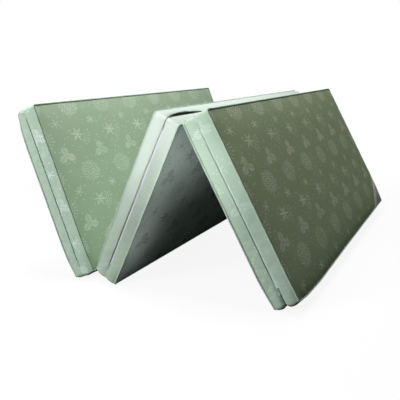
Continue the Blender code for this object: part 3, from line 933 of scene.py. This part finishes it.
def cover_cloth(name, ground, figure, shadow, contrast, painted_light_tone=None):
    """Satin jacquard of polyester yarn: a soft sheen, with the figures woven in a paler, flatter weave."""
    material, tree = new_material(name)
    cloth = add(tree, "UVMap", out="UV", uv_map="cloth")
    mask = woven_figures(tree, cloth)
    place = add(tree, "TexCoord", out="Object")
    mottle = add(tree, "TexNoise", {"Vector": place, "Scale": 1 / (70 * MM), "Detail": 4.0}, out="Fac")
    worn = add(tree, "MapRange", (mottle, 0.35, 0.65, 0.6, 1.0))
    shown = add(tree, "Attribute", out="Fac", attribute_name="figure_show")
    amount = mask
    for share in (worn, contrast, shown):
        amount = add(tree, "Math", (amount, share), operation="MULTIPLY")
    dim = add(tree, "Mix", {0: mottle, 6: linear(ground[0]), 7: linear(ground[1])}, out=2, data_type="RGBA")
    # With a tone given, the ground turns to it towards the top of the piece, by object height: painted light,
    # for the top lit more strongly from above.
    if painted_light_tone:
        height = add(tree, "SeparateXYZ", (place,), out="Z")
        painted_light_share = add(tree, "MapRange", (height, 0.05, 0.6, 0.0, 1.0))
        painted_light_share = add(tree, "Math", (painted_light_share, 1.6), operation="POWER")
        dim = add(tree, "Mix", {0: painted_light_share, 6: dim, 7: linear(painted_light_tone)}, out=2, data_type="RGBA")
    colour = add(tree, "Mix", {0: amount, 6: dim, 7: linear(figure)}, out=2, data_type="RGBA")
    # Greyer and darker where the lower band is puckered: painted shade in the puckers.
    puckered = add(tree, "Attribute", out="Fac", attribute_name="pucker")
    painted_pucker_shade = add(tree, "Math", (puckered, 0.6), operation="MULTIPLY")
    colour = add(tree, "Mix", {0: painted_pucker_shade, 6: colour, 7: linear("#909F94")}, out=2, data_type="RGBA")
    # A dark line in the shadow colour along the sewn edges and the bands' middle seams: painted shadow beside
    # the piping and in the seams.
    edge = add(tree, "Attribute", out="Fac", attribute_name="sewn_edge")
    line = add(tree, "MapRange", (edge, 0.18, 0.36, 0.0, 0.85))
    colour = add(tree, "Mix", {0: line, 6: colour, 7: linear(shadow)}, out=2, data_type="RGBA")
    # Threads are about 0.35 mm apart: drawn at 1.4 mm, so that they show
    thread = {"Vector": cloth, "Scale": WAVE_REPEAT / (1.4 * MM)}
    threads = [add(tree, "TexWave", thread, out="Fac", bands_direction=axis) for axis in "XY"]
    weave = add(tree, "Math", threads, operation="MULTIPLY")
    weave = add(tree, "Math", (mask, 0.8, weave), operation="MULTIPLY_ADD")
    bump = add(tree, "Bump", {"Strength": 0.25, "Distance": 0.3 * MM, "Height": weave})
    fold = add(
        tree, "TexWave",
        {"Vector": cloth, "Scale": WAVE_REPEAT / (14 * MM), "Distortion": 9.0, "Detail Scale": 0.35},
        out="Fac", bands_direction="Y",
    )
    fold = add(tree, "Math", (fold, 3.0), operation="POWER")
    uneven = add(tree, "TexNoise", {"Vector": cloth, "Scale": 1 / (40 * MM), "Detail": 1.0}, out="Fac")
    uneven = add(tree, "MapRange", (uneven, 0.4, 0.6, 0.15, 1.0))
    for share in (uneven, puckered):
        fold = add(tree, "Math", (fold, share), operation="MULTIPLY")
    bump = add(tree, "Bump", {"Strength": 1.0, "Distance": 1.6 * MM, "Height": fold, "Normal": bump})
    rough = add(tree, "MapRange", (mask, 0.0, 1.0, 0.52, 0.68))
    shader = add(tree, "BsdfPrincipled", {
        "Base Color": colour, "Roughness": rough, "Normal": bump,
        "Sheen Weight": 0.02, "Sheen Roughness": 0.5, "Specular IOR Level": 0.0,
    })
    show(tree, shader)
    return material


def plain_cloth(name, light, dark, spacing, strength, roughness):
    """Woven cloth or tape with one clear rib direction."""
    material, tree = new_material(name)
    place = add(tree, "TexCoord", out="Object")
    mottle = add(tree, "TexNoise", {"Vector": place, "Scale": 1 / (25 * MM), "Detail": 4.0}, out="Fac")
    rib = add(
        tree, "TexWave", {"Vector": place, "Scale": WAVE_REPEAT / spacing, "Distortion": 0.6}, out="Fac",
        bands_direction="DIAGONAL",
    )
    blend = add(tree, "Math", (rib, 0.5, mottle), operation="MULTIPLY_ADD")
    blend = add(tree, "MapRange", (blend, 0.35, 1.1, 0.0, 1.0))
    colour = add(tree, "Mix", {0: blend, 6: linear(dark), 7: linear(light)}, out=2, data_type="RGBA")
    bump = add(tree, "Bump", {"Strength": strength, "Distance": 0.3 * MM, "Height": rib})
    shader = add(tree, "BsdfPrincipled", {
        "Base Color": colour, "Roughness": roughness, "Normal": bump,
        "Sheen Weight": 0.03, "Specular IOR Level": 0.1,
    })
    show(tree, shader)
    return material


def nylon(name, colour):
    """Nylon monofilament, heat-set in a coil: a tight, waxy highlight on each turn."""
    material, tree = new_material(name)
    place = add(tree, "TexCoord", out="Object")
    dust = add(tree, "TexNoise", {"Vector": place, "Scale": 1 / (4 * MM), "Detail": 2.0}, out="Fac")
    tint = add(tree, "MapRange", (dust, 0.3, 0.8, 0.0, 0.25))
    mixed = add(tree, "Mix", {0: tint, 6: linear(colour), 7: linear("#9AA6A4")}, out=2, data_type="RGBA")
    shader = add(tree, "BsdfPrincipled", {"Base Color": mixed, "Roughness": 0.38, "IOR": 1.53})
    show(tree, shader)
    return material


def enamelled_zinc():
    """Die-cast zinc with a thin mint enamel, dyed to match: a soft metal gleam and handling scratches."""
    material, tree = new_material("mint_enamelled_zinc")
    place = add(tree, "TexCoord", out="Object")
    grain = add(tree, "TexNoise", {"Vector": place, "Scale": 1 / (1.2 * MM), "Detail": 3.0}, out="Fac")
    rough = add(tree, "MapRange", (grain, 0.3, 0.7, 0.22, 0.42))
    tone = add(tree, "Mix", {0: grain, 6: linear("#7F9A8A"), 7: linear("#93AE9D")}, out=2, data_type="RGBA")
    bump = add(tree, "Bump", {"Strength": 0.12, "Distance": 0.1 * MM, "Height": grain})
    shader = add(tree, "BsdfPrincipled", {
        "Base Color": tone, "Metallic": 0.25, "Roughness": rough, "Normal": bump,
    })
    show(tree, shader)
    return material


def foam_block():
    """Open-cell polyurethane foam, cut from a slab: matt cream with fine round cells."""
    material, tree = new_material("polyurethane_foam")
    place = add(tree, "TexCoord", out="Object")
    cells = add(tree, "TexVoronoi", {"Vector": place, "Scale": 1 / (2.5 * MM)}, out="Distance")
    yellowed = add(tree, "TexNoise", {"Vector": place, "Scale": 1 / (180 * MM), "Detail": 3.0}, out="Fac")
    tone = add(tree, "Mix", {0: yellowed, 6: linear("#E9DFB8"), 7: linear("#DCCB92")}, out=2, data_type="RGBA")
    bump = add(tree, "Bump", {"Strength": 0.6, "Distance": 0.8 * MM, "Height": cells})
    shader = add(tree, "BsdfPrincipled", {"Base Color": tone, "Roughness": 0.95, "Normal": bump})
    show(tree, shader)
    return material


def make_finishes():
    """Every finish of the mattress. The underside's jacquard is a paler, bluer copy with its figures darker
    than the ground: painted shade.
    """
    return {
        "face_cloth": cover_cloth("jacquard_face_cloth", ("#98AB94", "#A5B7A1"), "#D8E2D2", "#26372B", 0.75),
        "boxing_cloth": cover_cloth("jacquard_boxing_cloth", ("#A5BBA8", "#B0C5B3"), "#DCE6E0", "#4B5F50", 0.7),
        # The right panel's faces: a warmer, more olive copy of the face cloth, painted for the warm shade those
        # faces lie in.
        "right_face_cloth": cover_cloth(
            "jacquard_face_cloth_painted_warm_shade", ("#9AAE8D", "#A7BA99"), "#D9E0CF", "#26372B", 0.75),
        # The middle panel's boxing: a greyer copy of the boxing cloth, tinted for how the light falls on it,
        # with painted light towards its top.
        "middle_boxing_cloth": cover_cloth(
            "jacquard_boxing_cloth_painted_top_light", ("#A2B5A4", "#ADBFAF"), "#DCE6E0", "#4B5F50", 0.7, "#C6D1CA"),
        # The underside: figures darker than the ground and a bluer ground, painted for how the satin reads in
        # the shade.
        "reverse_cloth": cover_cloth(
            "jacquard_reverse_cloth", ("#B0BFB8", "#BCCAC4"), "#4A564F", "#26372B", 0.65),
        "welt_cloth": plain_cloth("bias_piping_cloth", "#BDD1C0", "#9BB29F", 2.2 * MM, 0.3, 0.6),
        "hinge_cloth": plain_cloth("twill_hinge_tape", "#A9C2AE", "#7C9683", 1.8 * MM, 0.35, 0.7),
        # Paler than the boxing, so that the zip's slot reads less dark: painted light in the slot.
        "mint_tape": plain_cloth("mint_zip_tape", "#DFF2E2", "#CBE0CE", 1.1 * MM, 0.4, 0.75),
        "white_tape": plain_cloth("white_zip_tape", "#F2F4F8", "#D5DBE6", 1.1 * MM, 0.4, 0.75),
        "navy_coil": nylon("navy_nylon_coil", "#26345F"),
        "mint_coil": nylon("mint_nylon_coil", "#86A392"),
        "thread": plain_cloth("polyester_thread", "#D5E2D6", "#A9BDAC", 0.9 * MM, 0.2, 0.5),
        "corner_patch": plain_cloth("woven_corner_patch", "#A9ABA6", "#6C6F6B", 1.6 * MM, 0.35, 0.75),
        "corner_patch_webbing": plain_cloth("polyester_webbing", "#DEE0DA", "#B9BCB5", 2.0 * MM, 0.5, 0.65),
        # A black sheet at the corner's tip: painted shadow, where the corner lies in deep shade.
        "corner_patch_shadow_tip": plain_cloth("black_painted_shadow_cloth", "#1B1E1C", "#0E100F", 1.2 * MM, 0.25, 0.45),
        "zip_metal": enamelled_zinc(),
        "foam": foam_block(),
    }


# Zips

def make_coil(panel, finishes):
    """The zip's chain: two flattened spirals of nylon wire whose turns lie between each other."""
    name = panel["name"]
    length = panel["length"] - ZIP_TOP_MARGIN - ZIP_START
    turns = int(length / COIL_PITCH)
    step = np.arange(turns * TURN_POINTS)
    angle = 2 * math.pi * step / TURN_POINTS
    halves = []
    for side in (1, -1):
        x = ZIP_START + COIL_PITCH * (step / TURN_POINTS + (side > 0) / 2)
        z = side * (0.62 + 0.75 * np.cos(angle)) * MM + 1.5 * panel["slot_low"] * MM
        depth = COIL_DEPTH - 0.5 * MM * np.sin(angle)
        y = panel["front"] * (panel["width"] / 2 - depth)
        route = np.column_stack((x, y, z))
        halves.append(add_tube(f"{name}_zip_chain", route, COIL_WIRE, closed=False, sides=0))
    only(*halves)
    bpy.ops.object.join()
    chain = newest(f"{name}_zip_chain")
    fit_to_panel(chain, panel, finishes["navy_coil" if name == "middle" else "mint_coil"], 80)
    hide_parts(f"{name}_zip_coil")


def dress_zip(panel, finishes):
    """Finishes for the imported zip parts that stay."""
    name = panel["name"]
    tape = finishes["white_tape" if name == "middle" else "mint_tape"]
    for part in ("zip_upper_tape", "zip_lower_tape"):
        frame["nodes"][f"{name}_{part}"].material_slots[0].material = tape
    for part in ("zip_foot_stop", "zip_top_stop", "zip_slider", "zip_pull"):
        frame["nodes"][f"{name}_{part}"].material_slots[0].material = finishes["zip_metal"]


def make_tape_edge(panel, finishes):
    """The zip tape's woven edge: white below the middle panel's coil, mint over the others' coils."""
    length = panel["length"] - ZIP_TOP_MARGIN - ZIP_START
    low = -SLOT_HALF - panel["slot_low"] * MM
    high = 0.9 * MM if panel["name"] == "middle" else SLOT_HALF + 1 * MM
    bpy.ops.object.select_all(action="DESELECT")
    bpy.ops.mesh.primitive_grid_add(x_subdivisions=160, y_subdivisions=4, size=1)
    edge = newest(f"{panel['name']}_zip_tape_edge")
    points = points_of(edge)
    x = ZIP_START - SLOT_REACH + (points[:, 0] + 0.5) * (length + 2 * SLOT_REACH)
    z = low + (points[:, 1] + 0.5) * (high - low)
    roll = 0.05 * MM * waves(x, (7 * MM, 31 * MM), 91)
    y = panel["front"] * (panel["width"] / 2 - TAPE_EDGE_DEPTH + roll)
    place_points(edge, np.column_stack((x, y, z)))
    apply_modifier(edge, "SOLIDIFY", thickness=0.2 * MM, offset=0)
    fit_to_panel(edge, panel, finishes["white_tape" if panel["name"] == "middle" else "mint_tape"])


# Corner patch

def cut_to_line(item, place, outward):
    """Cuts away what lies beyond a line in the panel's plan."""
    only(item)
    bpy.ops.object.mode_set(mode="EDIT")
    bpy.ops.mesh.select_all(action="SELECT")
    bpy.ops.mesh.bisect(plane_co=place, plane_no=outward, use_fill=False, clear_inner=False, clear_outer=True)
    object_mode()


def make_patch_cloth(face, name, layer, cuts):
    """One layer of the corner patch: a copy of the face, cut to lines and lifted by the layers below."""
    cloth = copy_of(face, name)
    for place, outward in cuts:
        cut_to_line(cloth, place, outward)
    apply_modifier(cloth, "SOLIDIFY", thickness=layer * PATCH_CLOTH, offset=1)
    return cloth


def make_corner_patch(panel, face, finishes):
    """Grey patch sewn over the far foot corner: plain cloth, webbing on its long edge, and a black tip that is
    painted shadow.
    """
    points = points_of(face)
    away = -panel["front"] * points[:, 1]
    far = away.max() - PATCH_INSET
    foot = points[away > far - PATCH_ACROSS, 0].min() + PATCH_INSET
    corner = Vector((foot, -panel["front"] * far, 0))
    inward = Vector((PATCH_ACROSS, panel["front"] * PATCH_ALONG, 0)).normalized()
    height = PATCH_ALONG * PATCH_ACROSS / math.hypot(PATCH_ALONG, PATCH_ACROSS)
    sides = [(corner, (-1, 0, 0)), (corner, (0, -panel["front"], 0))]
    reach = {"corner_patch": (0, height), "corner_patch_webbing": (height - PATCH_WEBBING, height),
             "corner_patch_shadow_tip": (0, PATCH_TIP)}
    for name, (near, end) in reach.items():
        cuts = sides + [(corner + inward * end, inward), (corner + inward * near, -inward)]
        cloth = make_patch_cloth(face, name, 1 if name == "corner_patch" else 2, cuts)
        fit_to_panel(cloth, panel, finishes[name])


# Stage

def seen_by_rays(tree):
    """1 for the camera, reflections and views through glass, and 0 for the light on the object."""
    rays = [add(tree, "LightPath", out=f"Is {kind} Ray") for kind in ("Camera", "Glossy", "Transmission")]
    seen = add(tree, "Math", rays[:2], operation="MAXIMUM")
    return add(tree, "Math", (seen, rays[2]), operation="MAXIMUM")


def make_stage():
    """A pale floor that keeps the shadow, and a white surround."""
    bpy.ops.object.select_all(action="DESELECT")
    bpy.ops.mesh.primitive_plane_add(size=60, location=(0, 0, -0.4 * MM))
    floor = newest("studio_floor")
    material, tree = new_material("white_studio_floor")
    seen = seen_by_rays(tree)
    place = add(tree, "TexCoord", out="Object")
    away = add(tree, "VectorMath", (place,), out="Value", operation="LENGTH")
    glow = add(tree, "MapRange", (away, *FLOOR_GLOW_REACH, FLOOR_GLOW, 1.0))
    share = add(tree, "Math", (seen, glow), operation="MULTIPLY")
    paint = add(tree, "Mix", {0: seen, 6: linear("#303030"), 7: linear("#F4F4F4")}, out=2, data_type="RGBA")
    matt = add(tree, "BsdfDiffuse", {"Color": paint})
    glow = add(tree, "Emission", {"Color": (1, 1, 1, 1), "Strength": 1.0})
    show(tree, add(tree, "MixShader", (share, matt, glow)))
    floor.data.materials.append(material)
    world = bpy.data.worlds.new("studio")
    bpy.context.scene.world = world
    world.use_nodes = True
    tree = world.node_tree
    tree.nodes.clear()
    seen = seen_by_rays(tree)
    soft = add(tree, "Background", {"Color": (1, 1, 1, 1), "Strength": AMBIENT})
    white = add(tree, "Background", {"Color": (1, 1, 1, 1), "Strength": 1.0})
    show(tree, add(tree, "MixShader", (seen, soft, white)), "World")


def add_lamp(name, place, target, size, power, colour, spread=180):
    lamp = bpy.data.lights.new(name, "AREA")
    lamp.spread = math.radians(spread)
    lamp.shape = "SQUARE"
    lamp.size = size
    lamp.energy = power
    lamp.color = colour
    item = bpy.data.objects.new(name, lamp)
    bpy.context.scene.collection.objects.link(item)
    item.location = place
    item.rotation_euler = (Vector(target) - Vector(place)).to_track_quat("-Z", "Y").to_euler()
    item.visible_camera = False


def make_lamps():
    """Softboxes overhead, in front, behind and to the left, and a narrow one low in front of the tent."""
    white = (1, 1, 1)
    add_lamp("overhead_softbox", (-0.45, -0.4, 2.2), (-0.35, 0, 0.3), 0.8, 34, (0.99, 1, 1.05))
    add_lamp("high_softbox", (0.3, -0.3, 2.4), (0.15, -0.2, 0.5), 0.6, 14, (1, 1, 0.88))
    add_lamp("front_softbox", (-1.6, -3.1, 1.3), (-0.1, 0, 0.3), 1.4, 90, white)
    add_lamp("near_fill", (0.2, -1.65, 0.8), (0.05, -0.3, 0.5), 0.4, 2.6, white)
    add_lamp("back_softbox", (0.4, 3.2, 1.5), (0.0, 0, 0.3), 1.4, 54, (1, 1, 0.93))
    add_lamp("left_softbox", (-2.8, 0.5, 1.1), (-0.3, 0, 0.3), 1.2, 10, white)
    add_lamp("tent_lamp", (0.62, -1.75, 0.12), (0.1, -0.63, 0.44), 0.12, 0.18, white, 22)
    add_lamp("tent_foot_lamp", (0.18, -0.72, 0.04), (-0.065, -0.7, 0.15), 0.16, 0.085, white, 90)


def make_camera():
    camera = bpy.data.cameras.new("camera")
    camera.lens = CAMERA_LENS
    camera.sensor_width = 36
    item = bpy.data.objects.new("camera", camera)
    bpy.context.scene.collection.objects.link(item)
    item.location = CAMERA_PLACE
    item.rotation_euler = CAMERA_TURN
    bpy.context.scene.camera = item


def main():
    bpy.context.scene.view_settings.view_transform = "Standard"
    make_camera()
    finishes = make_finishes()
    panels = [read_panel(name) for name in FRONTS]
    trial = make_cover_grid(panels[0])
    places = points_of(trial)
    swell = simulate_cloth(trial, panels[0], places)
    bpy.data.objects.remove(trial)
    for panel in panels:
        make_panel_cover(panel, swell, finishes)
        make_coil(panel, finishes)
        dress_zip(panel, finishes)
        make_tape_edge(panel, finishes)
    make_hinge("left", "left_fold", ("middle", "left"), finishes)
    make_hinge("right", "right_fold", ("middle", "right"), finishes)
    make_stage()
    make_lamps()


main()
